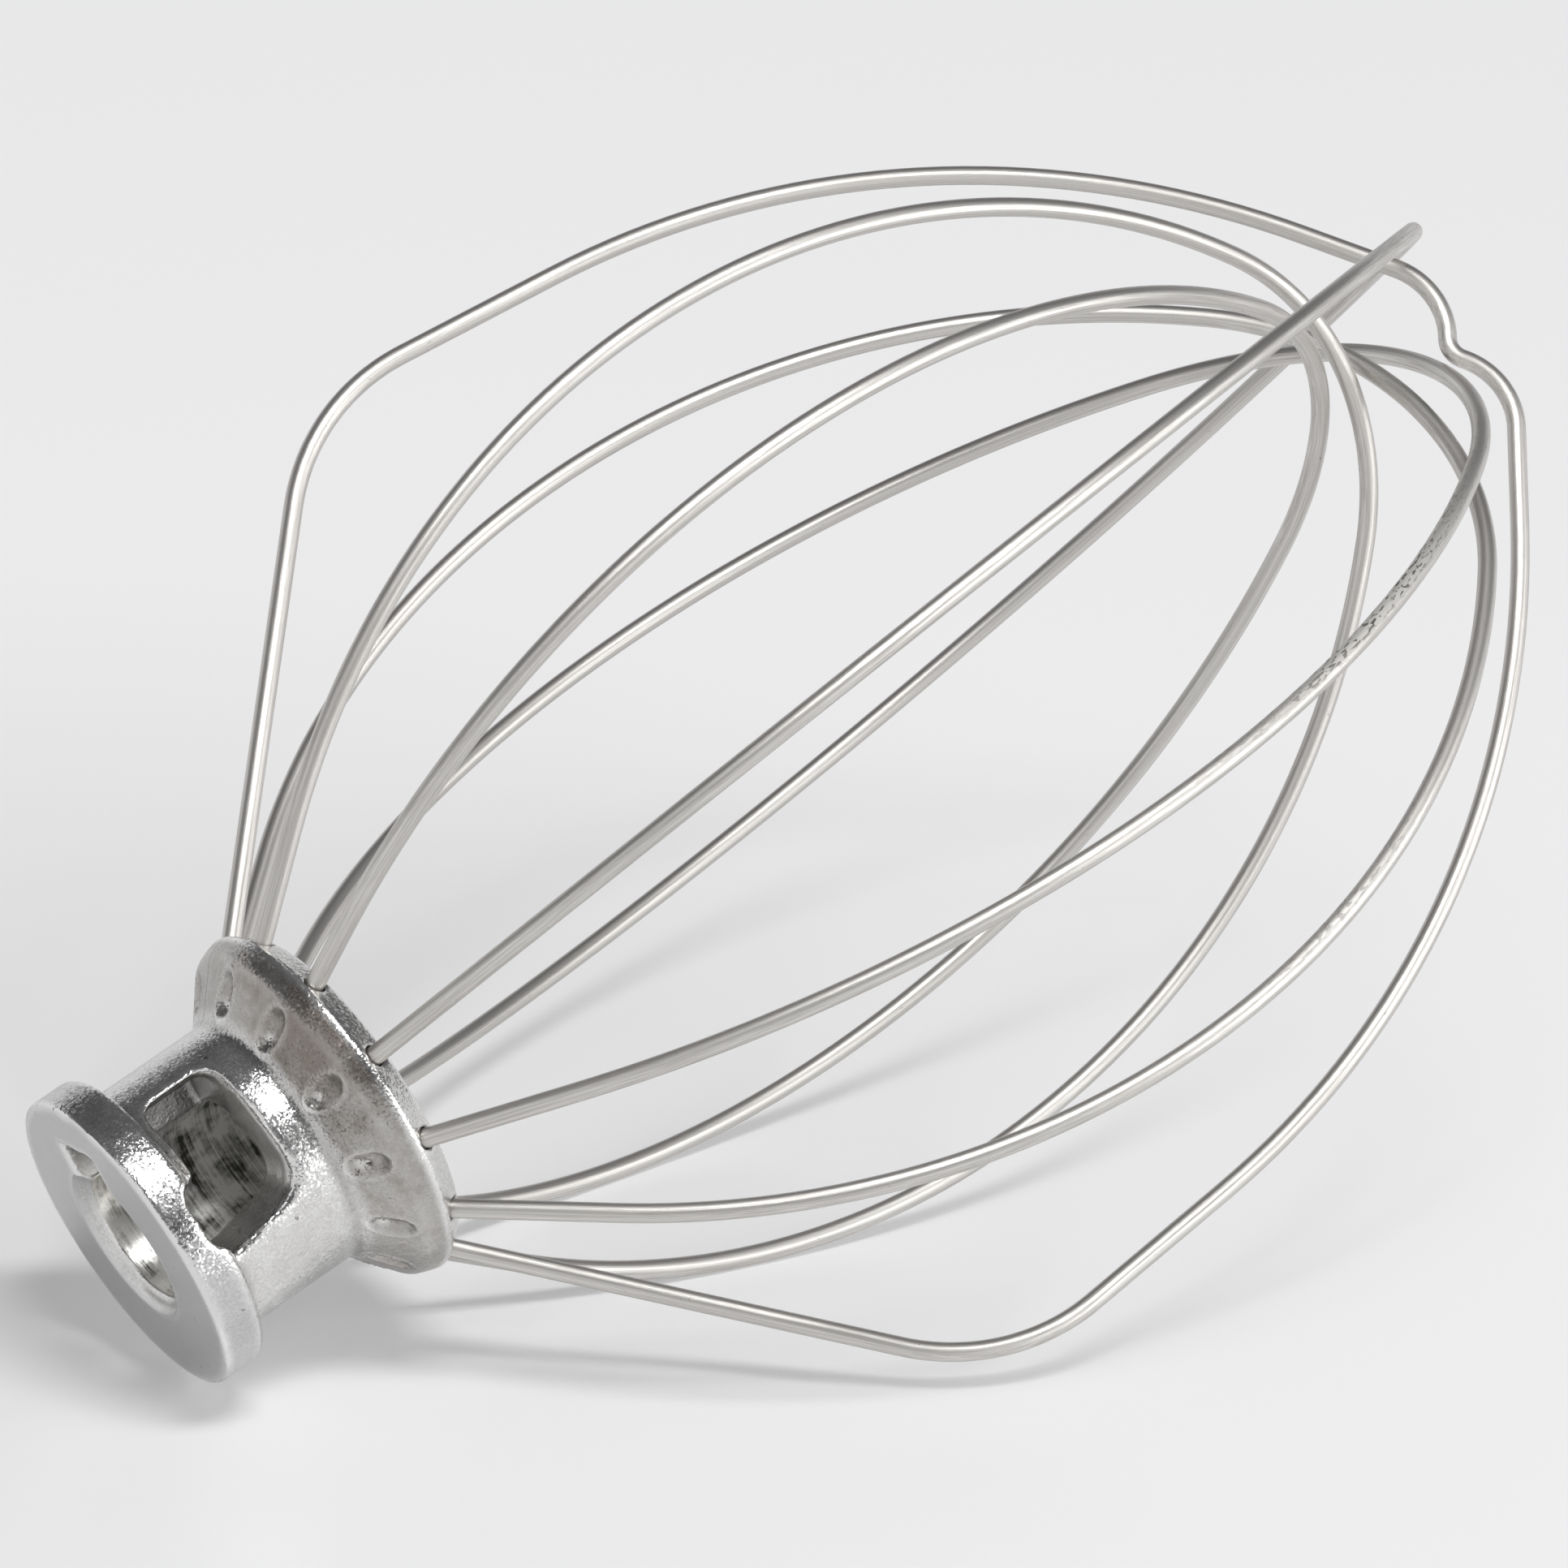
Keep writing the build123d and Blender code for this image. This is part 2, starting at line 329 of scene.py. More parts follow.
# The outer loop: straight runs between bends, kinked in at its tip
def outerKnots(size):
    outward, tip, axis, spread = loopFrame(1, size)
    shoulderOut, shoulderDown, shoulderBend = size["shoulder"]
    bellyOut, bellyDown = size["belly"]
    slope = atan2(size["kinkHeight"], size["kinkRadius"])
    kink = tip - axis * size["kinkBend"] * (1 / cos(slope) - 1)
    halves = []
    for hand in (1, -1):
        end = ringCentre + outward * hand * wires["ringRadius"]
        out = spread * hand
        fall = end - tip
        down = (fall - out * fall.dot(out)).normalized()
        shoulder = tip + out * shoulderOut + down * shoulderDown
        belly = tip + out * bellyOut + down * bellyDown
        nose = kink + out * size["kinkRadius"] - down * size["kinkHeight"]
        inner = end - (shoulder - end).normalized() * wires["socketDepth"]
        halves.append([inner, shoulder, belly, nose])
    shoulder, belly, nose = halves[0][1:]
    noseLength = (nose - kink).length - size["kinkRun"] - size["kinkBend"] * tan(slope)
    noseBend = noseLength / tan((nose - belly).angle(kink - nose) / 2)
    bellyLength = (nose - belly).length - noseLength - size["noseRun"]
    bellyBend = bellyLength / tan((belly - shoulder).angle(nose - belly) / 2)
    bends = [shoulderBend, bellyBend, noseBend]
    bends = bends + [size["kinkBend"]] + bends[::-1]
    corners = halves[0] + [kink] + halves[1][::-1]
    knots = [(corners[0], (corners[1] - corners[0]).normalized())]
    for before, corner, after, bend in zip(corners, corners[1:], corners[2:], bends):
        first, second = (corner - before).normalized(), (after - corner).normalized()
        length = bend * tan(first.angle(second) / 2)
        knots += [(corner - first * length, first), (corner + second * length, second)]
    return knots + [(corners[-1], (corners[-1] - corners[-2]).normalized())]


# Handles of this length make each span the arc, or the line, that touches both headings
def bentWire(name, knots):
    data = bpy.data.curves.new(name, "CURVE")
    data.dimensions = "3D"
    data.bevel_depth = wires["radius"] * mm
    data.bevel_resolution = wires["roundness"]
    data.resolution_u = wires["ringsPerBend"]
    data.use_fill_caps = True
    spline = data.splines.new("BEZIER")
    spline.bezier_points.add(len(knots) - 1)
    spans = []
    for (first, leaving), (second, arriving) in zip(knots, knots[1:]):
        turn = max(leaving.angle(arriving), wires["leastTurn"])
        spans.append((second - first).length * 2 / 3 * tan(turn / 4) / sin(turn / 2))
    for index, (knot, (place, heading)) in enumerate(zip(spline.bezier_points, knots)):
        knot.handle_left_type = knot.handle_right_type = "FREE"
        knot.co = toRow(place)
        knot.handle_left = toRow(place - heading * spans[max(index - 1, 0)])
        knot.handle_right = toRow(place + heading * spans[min(index, len(spans) - 1)])
    shape = bpy.data.objects.new(name, data)
    mesh = bpy.data.meshes.new_from_object(shape)
    mesh.shade_smooth()
    mesh.name = name
    bpy.data.objects.remove(shape)
    bpy.data.curves.remove(data)
    return linked(name, mesh)


def storeValues(mesh, name, values):
    mesh.attributes.new(name, "FLOAT", "POINT").data.foreach_set("value", values.astype(np.float32))


def vertexValues(mesh, name):
    values = np.empty(len(mesh.vertices) * 3, np.float32)
    mesh.vertices.foreach_get(name, values)
    return values.reshape(-1, 3).astype(float)


def fade(values, low, high):
    part = np.clip((values - low) / (high - low), 0, 1)
    return part * part * (3 - 2 * part)


# Drawn stainless wire. The surface normal tells the sides of the wire apart, so noise in it runs along
# the wire as the streaks of the die do
drawnWire = {
    "light": (0.78, 0.765, 0.74, 1),
    "dark": (0.44, 0.42, 0.395, 1),
    "speck": (0.10, 0.095, 0.085, 1),
    "roughness": (0.33, 0.52),
    "streak": (7.0, 55.0),  # scale round the wire and along it
    "streakDetail": 3.0,
    "streakShare": 0.6,
    "fineStreak": (19.0, 160.0),
    "fineDetail": 2.0,
    "fineShare": 0.4,
    "speckStretch": (2.6, 1000.0),
    "fewSpecks": (0.76, 0.04),  # threshold and softness
    "manySpecks": (0.56, 0.03),
    "speckShade": 0.9,
    "speckRoughness": 0.2,
    "speckDepth": 4.0,
    "wornLight": 0.8,
    "wornRoughness": 0.30,
    "relief": 0.000012,
    "reliefStrength": 0.7,
}


def wireMaterial():
    material, tree, surface = newMaterial("drawnWire")
    coords = addNode(tree, "TexCoord").outputs

    def alongWire(name):
        aroundScale, alongScale = drawnWire[name]
        around = stretched(tree, coords["Normal"], (aroundScale,) * 3)
        return vectorWorked(tree, "ADD", around, stretched(tree, coords["Object"], (alongScale,) * 3))

    broad = mottled(tree, alongWire("streak"), 1.0, drawnWire["streakDetail"])
    fine = mottled(tree, alongWire("fineStreak"), 1.0, drawnWire["fineDetail"])
    streaks = plusShare(tree, shareOf(tree, broad, drawnWire["streakShare"]), fine, drawnWire["fineShare"])
    speckWay = alongWire("speckStretch")
    few = specked(tree, speckWay, 1.0, *drawnWire["fewSpecks"])
    many = specked(tree, speckWay, 1.0, *drawnWire["manySpecks"])
    pitted = attribute(tree, "pitted").outputs["Fac"]
    specks = worked(tree, "MAXIMUM", few, worked(tree, "MULTIPLY", many, pitted))
    tone = mixedColour(tree, streaks, drawnWire["dark"], drawnWire["light"])
    tone = mixedColour(tree, shareOf(tree, pitted, drawnWire["wornLight"]), tone, drawnWire["light"])
    tone = mixedColour(tree, shareOf(tree, specks, drawnWire["speckShade"]), tone, drawnWire["speck"])
    low, high = drawnWire["roughness"]
    rough = plusShare(tree, high, streaks, low - high)
    rough = plusShare(tree, rough, specks, drawnWire["speckRoughness"])
    rough = plusShare(tree, rough, pitted, drawnWire["wornRoughness"], True)
    height = plusShare(tree, streaks, specks, -drawnWire["speckDepth"])
    bumps = relief(tree, height, drawnWire["relief"], drawnWire["reliefStrength"])
    feed(tree, tone, surface, "Base Color")
    feed(tree, rough, surface, "Roughness")
    feed(tree, bumps, surface, "Normal")
    surface.inputs["Metallic"].default_value = 1.0
    return material


# Worn pits: on the upper side of two loops, about one place on each
def storePits(mesh, number, route):
    share, reach, strength = wires["pitted"].get(number, wires["unpitted"])
    (sideMiddle, _), (sideTop, _) = route[2:4]
    place = np.array(toRow(sideMiddle.lerp(sideTop, share)))
    distance = np.linalg.norm(vertexValues(mesh, "co") - place, axis=1) / mm
    facing = vertexValues(mesh, "normal") @ np.array(wires["pittedSide"])
    side = fade(facing, *wires["pittedEdge"])
    storeValues(mesh, "pitted", strength * side * np.exp(-((distance / reach) ** 2)))


routes = {1: outerKnots(wires["outer"])}
routes.update({number: plainKnots(number, size) for number, size in wires["plain"].items()})


def addWires():
    material = wireMaterial()
    for number, route in routes.items():
        piece = bentWire(f"wireLoop{number}", route)
        storePits(piece.data, number, route)
        piece.data.materials.append(material)
        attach(piece, "root")
        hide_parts(f"wire_loop_{number}")


addWires()
print("stage: wires")


# Hub casting: the CAD form with rolled edges, pressed rims round the stakes and a slightly wavy skin.
# In millimetres; most pairs are where a soft edge begins and ends
hubCasting = {
    "voxel": 0.29,
    "weld": 0.001,
    "roundingSteps": 2,
    "rounding": 0.5,
    "windowTurn": 85.0,
    "windowHeights": (2.0, 14.6),
    "windowRoll": 16,
    "rollPull": 0.5,
    "rollRadii": (10.2, 11.0),
    "rollSides": (8.6, 9.4),
    "rollEdge": 0.6,
    "rollFlange": (12.6, 13.2),
    "rollFlangeCut": 0.6,
    "wallHeights": (2.6, 5.8, 13.4),
    "wallSides": (7.6, 7.6, 6.2),
    "wallLean": 2.95,
    "wallCorner": 2.6,
    "wallBite": 0.4,
    "wallEnd": 1.6,
    "wallSteps": 8,
    "neckRadius": 12.4,
    "boreRadius": 6.45,
    "boreTop": 20.5,
    "boreEdge": (0.15, 0.3),
    "boreTopEdge": (0.3, 0.5),
    "boreShine": (5.2, 6.6),
    "mouthBevel": 1.2,
    "mouthReach": 0.3,
    "mouthEdge": 0.1,
    "faceHeights": (0.15, 0.4),
    "entryTurn": 30.0,
    "entryWidth": (0.5, 0.7),
    "entryHeights": (0.4, 0.8),
    "entryRadii": (6.8, 11.3),
    "entryEdges": (0.1, 0.3),
    "socketGap": (1.0, 1.3),
    "socketHeights": (20.0, 21.0),
    "flangeRadii": (13.6, 14.2),
    "flangeHeights": (5.5, 6.5),
    "skinRadii": (11.3, 11.9),
    "flareLow": (12.4, 17.0),  # radius and height of the cone's ends
    "flareHigh": (17.2, 21.0),
    "flareRadii": (12.4, 12.9),
    "flareStart": (17.2, 18.2),
    "flareStop": (22.3, 22.9),
    "stakeHalf": (2.2, 1.3),
    "stakeNear": (1.0, 3.0),  # off the cone and along it
    "stakeForce": (0.75, 0.25, 2.4),  # middle, swing and beat from stake to stake
    "rimPlace": 1.12,
    "rimHeight": 0.16,
    "rimWidth": 0.13,
    "punchDepth": 0.26,
    "punchPlace": -1.0,
    "punchReach": 0.45,
    "stainTurn": 76.0,
    "stainReach": 26.0,
    "waveHeight": 0.012,
    "waveLength": 2.6,
    "bulgeSteps": 2,
    "bulgeFull": 0.02,
}


def atWindow(out, side, height):
    way = turned(Vector((1, 0, 0)), Vector((0, 0, 1)), hubCasting["windowTurn"])
    return toRow(way * out + Vector((-way.y, way.x, 0)) * side + Vector((0, 0, height)))


def addLoft(work, sections):
    rows = [[work.verts.new(point) for point in section] for section in sections]
    for lower, upper in zip(rows, rows[1:]):
        for index in range(len(lower)):
            work.faces.new((lower[index - 1], lower[index], upper[index], upper[index - 1]))
    work.faces.new(rows[0][::-1])
    work.faces.new(rows[-1])


def outTo(radius, side):
    return sqrt(radius**2 - side**2)


# The window's lower wall runs in towards the axis, down to the bore
def leaningWall(work):
    bore, neck, bite = (hubCasting[name] for name in ("boreRadius", "neckRadius", "wallBite"))
    low, middle, top = hubCasting["wallHeights"]
    steps = hubCasting["wallSteps"]
    sections = []
    for height, side in zip((low, middle, top + bite), hubCasting["wallSides"]):
        out = outTo(neck, side) - bite
        inner = side - hubCasting["wallLean"]
        last = outTo(bore, hubCasting["wallEnd"])
        arc = [inner + (last - inner) * step / steps for step in range(steps + 1)]
        outline = [(out, side)] + [(outTo(bore, place), place) for place in arc]
        outline += [(outTo(bore, last), side + bite), (out, side + bite)]
        sections.append([atWindow(*point, height) for point in outline])
    addLoft(work, sections)


# The far end of that wall turns into the window's top in a wide curve
def roundedCorner(work):
    bend, bite, steps = (hubCasting[name] for name in ("wallCorner", "wallBite", "wallSteps"))
    (_, low, top), (_, wide, narrow) = hubCasting["wallHeights"], hubCasting["wallSides"]
    slant = (wide - narrow) / (top - low)
    atBore = (hubCasting["boreRadius"], hubCasting["wallLean"], 0.0)
    atNeck = (hubCasting["neckRadius"], 0.0, bite / 2)
    sections = []
    for radius, lean, sink in (atBore, atNeck):
        side = narrow - lean
        outline = []
        for step in range(steps + 1):
            share = step / steps
            drop = bend * (1 - share) ** 2
            outline.append((side + slant * drop - bend * share**2, top - drop))
        outline += [(side - bend, top + bite), (side + bite, top + bite)]
        outline.append((side + slant * bend + bite, top - bend))
        sections.append([atWindow(outTo(radius, side) - sink, side, height) for side, height in outline])
    addLoft(work, sections)


def roundedCopy(node):
    work = bmesh.new()
    work.from_mesh(frame["nodes"][node].data)
    bmesh.ops.remove_doubles(work, verts=work.verts, dist=hubCasting["weld"] * mm)
    leaningWall(work)
    roundedCorner(work)
    mesh = bpy.data.meshes.new("hubCasting")
    work.to_mesh(mesh)
    work.free()
    piece = linked("hubCasting", mesh)
    skin = piece.modifiers.new("skin", "REMESH")
    skin.mode = "VOXEL"
    skin.voxel_size = hubCasting["voxel"] * mm
    rolled = piece.modifiers.new("rolled", "SMOOTH")
    rolled.factor = hubCasting["rounding"]
    rolled.iterations = hubCasting["roundingSteps"]
    graph = bpy.context.evaluated_depsgraph_get()
    piece.data = bpy.data.meshes.new_from_object(piece.evaluated_get(graph), depsgraph=graph)
    piece.modifiers.clear()
    bpy.data.meshes.remove(mesh)
    piece.data.name = "hubCasting"
    piece.data.shade_smooth()
    return piece


def neighbourMean(values, edges):
    total = np.zeros_like(values)
    count = np.zeros(len(values))
    for first, second in ((0, 1), (1, 0)):
        np.add.at(total, edges[:, first], values[edges[:, second]])
        np.add.at(count, edges[:, first], 1)
    return total / count.reshape((-1,) + (1,) * (values.ndim - 1))


# Each stake's rim is raised and its pit is punched, one harder than the next
def pressStakes(local, angle, radius, height):
    low, high = (np.array(hubCasting[name]) for name in ("flareLow", "flareHigh"))
    slope = (high - low) / np.linalg.norm(high - low)
    middle = (low + high) / 2
    along = (radius - middle[0]) * slope[0] + (height - middle[1]) * slope[1]
    off = (radius - middle[0]) * slope[1] - (height - middle[1]) * slope[0]
    step = radians(wires["step"])
    number = np.round(angle / step)
    across = radius * (angle - number * step)
    halfLength, halfWidth = hubCasting["stakeHalf"]
    oval = np.hypot(along / halfLength, across / halfWidth)
    mean, swing, beat = hubCasting["stakeForce"]
    force = mean + swing * np.sin(number * beat)
    offNear, alongNear = hubCasting["stakeNear"]
    near = (np.abs(off) < offNear) & (np.abs(along) < alongNear)
    fromRim = (oval - hubCasting["rimPlace"]) / hubCasting["rimWidth"]
    rim = hubCasting["rimHeight"] * force * np.exp(-(fromRim**2))
    fromPunch = (along - hubCasting["punchPlace"]) ** 2 + across**2
    punch = np.exp(-fromPunch / hubCasting["punchReach"]) * near
    lift = rim * near - punch * force * hubCasting["punchDepth"]
    fall = np.full(len(angle), -slope[0])
    outward = np.stack([slope[1] * np.cos(angle), slope[1] * np.sin(angle), fall], 1)
    return local + outward * lift[:, None], punch


# The window's outer edge is rolled more than the rest
def rollWindow(local, angle, radius, height, edges):
    low, high = hubCasting["windowHeights"]
    edge = hubCasting["rollEdge"]
    turn = angle - radians(hubCasting["windowTurn"])
    aside = np.abs(radius * np.sin(turn))
    near = fade(radius, *hubCasting["rollRadii"]) * (np.cos(turn) > 0)
    near *= 1 - fade(aside, *hubCasting["rollSides"])
    near *= fade(height, low, low + edge) * (1 - fade(height, high - edge, high))
    near *= 1 - hubCasting["rollFlangeCut"] * fade(radius, *hubCasting["rollFlange"])
    pull = (near * hubCasting["rollPull"])[:, None]
    for _ in range(hubCasting["windowRoll"]):
        local = local + (neighbourMean(local, edges) - local) * pull
    return local


# A wide bevel at the bore's mouth
def openMouth(local):
    radius = np.hypot(local[:, 0], local[:, 1])
    least = hubCasting["boreRadius"] - hubCasting["mouthReach"]
    depth = (hubCasting["boreRadius"] + hubCasting["mouthBevel"] - radius - local[:, 2]) / 2
    depth = np.where(radius > least, np.maximum(depth, 0), 0)
    local[:, :2] *= (1 + depth / np.maximum(radius, least))[:, None]
    local[:, 2] += depth
    return local


# How far each point is from the nearest wire's end
def wireGap(local):
    gap = np.full(len(local), np.inf)
    for route in routes.values():
        for place, heading in (route[0], route[-1]):
            offset = local - np.array(place)
            beside = offset - (offset @ np.array(heading))[:, None] * np.array(heading)
            gap = np.minimum(gap, np.linalg.norm(beside, axis=1))
    return gap


# Which part of the casting each point is on, for the finish
def hubMasks(angle, radius, height):
    boreNear, boreFar = (hubCasting["boreRadius"] + edge for edge in hubCasting["boreEdge"])
    topNear, topFar = (hubCasting["boreTop"] + edge for edge in hubCasting["boreTopEdge"])
    bevel, mouth = hubCasting["mouthBevel"], hubCasting["mouthEdge"]
    bore = 1 - fade(radius, boreNear, boreFar)
    bore *= fade(height, bevel - mouth, bevel + mouth)
    bore *= 1 - fade(height, topNear, topFar)
    face = 1 - fade(height, *hubCasting["faceHeights"])
    inner, outer = hubCasting["entryRadii"]
    innerEdge, outerEdge = hubCasting["entryEdges"]
    # The keyway's slot, which the finish darkens as painted shade
    paintedKeywayShade = fade(np.cos(2 * (angle - radians(hubCasting["entryTurn"]))), *hubCasting["entryWidth"])
    paintedKeywayShade *= fade(height, *hubCasting["entryHeights"])
    paintedKeywayShade *= fade(radius, inner - innerEdge, inner + innerEdge)
    paintedKeywayShade *= 1 - fade(radius, outer - outerEdge, outer + outerEdge)
    rim = fade(radius, *hubCasting["flangeRadii"]) * (1 - fade(height, *hubCasting["flangeHeights"]))
    flare = fade(height, *hubCasting["flareStart"]) * (1 - fade(height, *hubCasting["flareStop"]))
    around = np.angle(np.exp(1j * (angle - radians(hubCasting["stainTurn"]))))
    return {
        "bore": bore,
        "dulled": fade(height, *hubCasting["boreShine"]),
        "face": face,
        "paintedKeywayShade": paintedKeywayShade,
        "rim": rim,
        "skin": fade(radius, *hubCasting["skinRadii"]) * (1 - face),
        "stained": np.exp(-((around / radians(hubCasting["stainReach"])) ** 2)),
        "flare": flare * fade(radius, *hubCasting["flareRadii"]),
    }


# Burnished cast aluminium, in millimetres of the whisk's own axis
castAluminium = {
    "light": (0.83, 0.825, 0.815, 1),
    "dark": (0.69, 0.685, 0.675, 1),
    "face": (0.53, 0.53, 0.535, 1),
    "flare": (0.49, 0.474, 0.453, 1),
    "flareStain": (0.24, 0.205, 0.175, 1),
    "flareClean": 0.45,
    # A near-black for grain, pits and the mould's line, also painted shade in hollows, sockets and the
    # keyway's slot
    "darkMarksAndPaintedShade": (0.16, 0.155, 0.145, 1),
    # Painted glint in the punched pits
    "paintedGlint": (0.86, 0.855, 0.84, 1),
    "boreLight": (0.86, 0.85, 0.82, 1),
    "boreDark": (0.05, 0.048, 0.04, 1),
    "boreDull": 0.75,
    "boreRoughness": 0.36,
    "boreWear": {"rings": 0.8, "patches": 1.6, "less": 0.35, "dulled": 0.25},
    "roughness": (0.17, 0.29),
    "roughnessAdded": {"flare": 0.10, "face": 0.10, "crest": -0.05, "punch": -0.16},
    "mottle": (0.32, 4.0),  # scale and detail
    "grain": (3.8, 3.0),
    "peel": (1.1, 2.0),
    "pits": (0.9, 0.72, 0.03),  # scale, threshold and softness
    "toolRings": ((0.12, 0.12, 4.0), 3.0),  # stretch and detail
    "toolPatches": ((0.35, 0.35, 0.35), 5.0),
    "facets": 5.2,
    "facetTilt": 0.20,
    "facetMiddle": (0.5, 0.5, 0.5),
    "punchTilt": 2.0,
    "seamTurn": 13.0,
    "seamHalf": (0.04, 0.13),
    "grainRelief": 0.000012,
    "peelRelief": 0.000012,
    "shares": {  # how much of each layer shows
        # The crest, punch and boreCrest layers are painted highlights; the hollow, socket and keyway
        # layers are painted shade
        "face": 0.8, "rim": 0.75, "flare": 0.9, "grain": 0.30, "smoothFace": 0.85, "boreCrest": 0.8,
        "crest": 0.8, "crestOnFlare": 0.5, "hollow": 0.7, "hollowOnFlare": 0.45,
        "punch": 0.7, "socket": 0.9, "pits": 0.6, "paintedKeywayShade": 0.6, "seam": 0.75,
    },
}


# The crystals of the cast skin: each small cell leans its own way and glints by itself
def tilted(tree, normal, coords, amount):
    cells = addNode(tree, "TexVoronoi", Scale=castAluminium["facets"])
    feed(tree, coords, cells, "Vector")
    lean = vectorWorked(tree, "SUBTRACT", cells.outputs["Color"], castAluminium["facetMiddle"])
    tilt = shareOf(tree, amount, castAluminium["facetTilt"])
    lean = vectorWorked(tree, "SCALE", lean, tilt, "Scale")
    return vectorWorked(tree, "NORMALIZE", vectorWorked(tree, "ADD", normal, lean))


# The line where the two halves of the mould met, in a plane through the axis
def seamLine(tree, coords, skin):
    turn = radians(castAluminium["seamTurn"])
    across = vectorWorked(tree, "DOT_PRODUCT", coords, (-sin(turn), cos(turn), 0), result="Value")
    near, far = castAluminium["seamHalf"]
    line = addNode(tree, "MapRange", **{"From Min": near, "From Max": far, "To Min": 1.0, "To Max": 0.0})
    feed(tree, worked(tree, "ABSOLUTE", across, 0.0), line, "Value")
    return worked(tree, "MULTIPLY", line.outputs["Result"], skin)


def castMaterial():
    material, tree, surface = newMaterial("castAluminium")
    coords = attribute(tree, "axisCoord").outputs["Vector"]
    shares = castAluminium["shares"]

    def mask(name):
        return attribute(tree, name).outputs["Fac"]

    def uneven(name):
        return mottled(tree, coords, *castAluminium[name])

    def toolMarks(name):
        stretch, detail = castAluminium[name]
        return mottled(tree, stretched(tree, coords, stretch), 1.0, detail)

    def layered(tone, share, colour):
        return mixedColour(tree, share, tone, castAluminium[colour])

    flare, crest, hollow, punch = map(mask, ("flare", "crest", "hollow", "punch"))
    face, rim, bore, dulled = map(mask, ("face", "rim", "bore", "dulled"))
    skin, socket, stained, paintedKeywayShade = map(mask, ("skin", "socket", "stained", "paintedKeywayShade"))
    mottle, grain, peel = map(uneven, ("mottle", "grain", "peel"))
    rings, patches = map(toolMarks, ("toolRings", "toolPatches"))
    pits = specked(tree, coords, *castAluminium["pits"])
    seam = seamLine(tree, coords, skin)

    # The drilled bore: the tool's rings, rubbed bright in places
    wear = castAluminium["boreWear"]
    bright = plusShare(tree, shareOf(tree, rings, wear["rings"]), patches, wear["patches"])
    bright = worked(tree, "SUBTRACT", bright, wear["less"])
    # Darker and less metallic further up the bore, above the shiny part near its mouth
    bright = plusShare(tree, bright, dulled, -wear["dulled"], True)
    drilled = mixedColour(tree, bright, castAluminium["boreDark"], castAluminium["boreLight"])
    # Edges in the bore keep the cast tone, so they carry the painted edge highlight too
    drilledShare = worked(tree, "MULTIPLY", bore, plusShare(tree, 1.0, crest, -shares["boreCrest"]))

    # The cast skin, the machined face and the stained cone, with a sandy grain over them
    clean = worked(tree, "ADD", mottle, castAluminium["flareClean"])
    clean = worked(tree, "SUBTRACT", clean, stained, True)
    stain = mixedColour(tree, clean, castAluminium["flareStain"], castAluminium["flare"])
    flat = worked(tree, "MAXIMUM", shareOf(tree, face, shares["face"]), shareOf(tree, rim, shares["rim"]))
    smooth = worked(tree, "MAXIMUM", bore, shareOf(tree, face, shares["smoothFace"]))
    sandy = worked(tree, "MULTIPLY", grain, worked(tree, "SUBTRACT", 1.0, smooth))
    tone = mixedColour(tree, mottle, castAluminium["dark"], castAluminium["light"])
    tone = layered(tone, flat, "face")
    tone = mixedColour(tree, shareOf(tree, flare, shares["flare"]), tone, stain)
    tone = layered(tone, shareOf(tree, sandy, shares["grain"]), "darkMarksAndPaintedShade")

    # Painted highlights on edges and punched pits; painted shade in hollows, sockets and the keyway's
    # slot; dark pits and mould line
    paintedEdgeHighlight = plusShare(tree, shares["crest"], flare, -shares["crestOnFlare"])
    tone = layered(tone, worked(tree, "MULTIPLY", crest, paintedEdgeHighlight), "light")
    paintedHollowShade = plusShare(tree, shares["hollow"], flare, -shares["hollowOnFlare"])
    tone = layered(tone, worked(tree, "MULTIPLY", hollow, paintedHollowShade), "darkMarksAndPaintedShade")
    tone = layered(tone, shareOf(tree, punch, shares["punch"]), "paintedGlint")
    for name, dark in (("socket", socket), ("pits", pits), ("paintedKeywayShade", paintedKeywayShade), ("seam", seam)):
        tone = layered(tone, shareOf(tree, dark, shares[name]), "darkMarksAndPaintedShade")
    tone = mixedColour(tree, drilledShare, tone, drilled)

    low, high = castAluminium["roughness"]
    rough = plusShare(tree, low, mottle, high - low)
    for name, place in (("flare", flare), ("face", face), ("crest", crest), ("punch", punch)):
        rough = plusShare(tree, rough, place, castAluminium["roughnessAdded"][name])
    rough = worked(tree, "MAXIMUM", rough, shareOf(tree, bore, castAluminium["boreRoughness"]), True)

    broad = worked(tree, "SUBTRACT", worked(tree, "SUBTRACT", peel, pits), seam)
    fine = worked(tree, "ADD", sandy, worked(tree, "MULTIPLY", rings, bore))
    bumps = relief(tree, broad, castAluminium["peelRelief"])
    bumps = relief(tree, fine, castAluminium["grainRelief"], below=bumps)
    lean = plusShare(tree, skin, punch, castAluminium["punchTilt"])
    dull = worked(tree, "MULTIPLY", drilledShare, dulled)

    feed(tree, tone, surface, "Base Color")
    feed(tree, rough, surface, "Roughness")
    feed(tree, tilted(tree, bumps, coords, lean), surface, "Normal")
    feed(tree, plusShare(tree, 1.0, dull, -castAluminium["boreDull"]), surface, "Metallic")
    return material


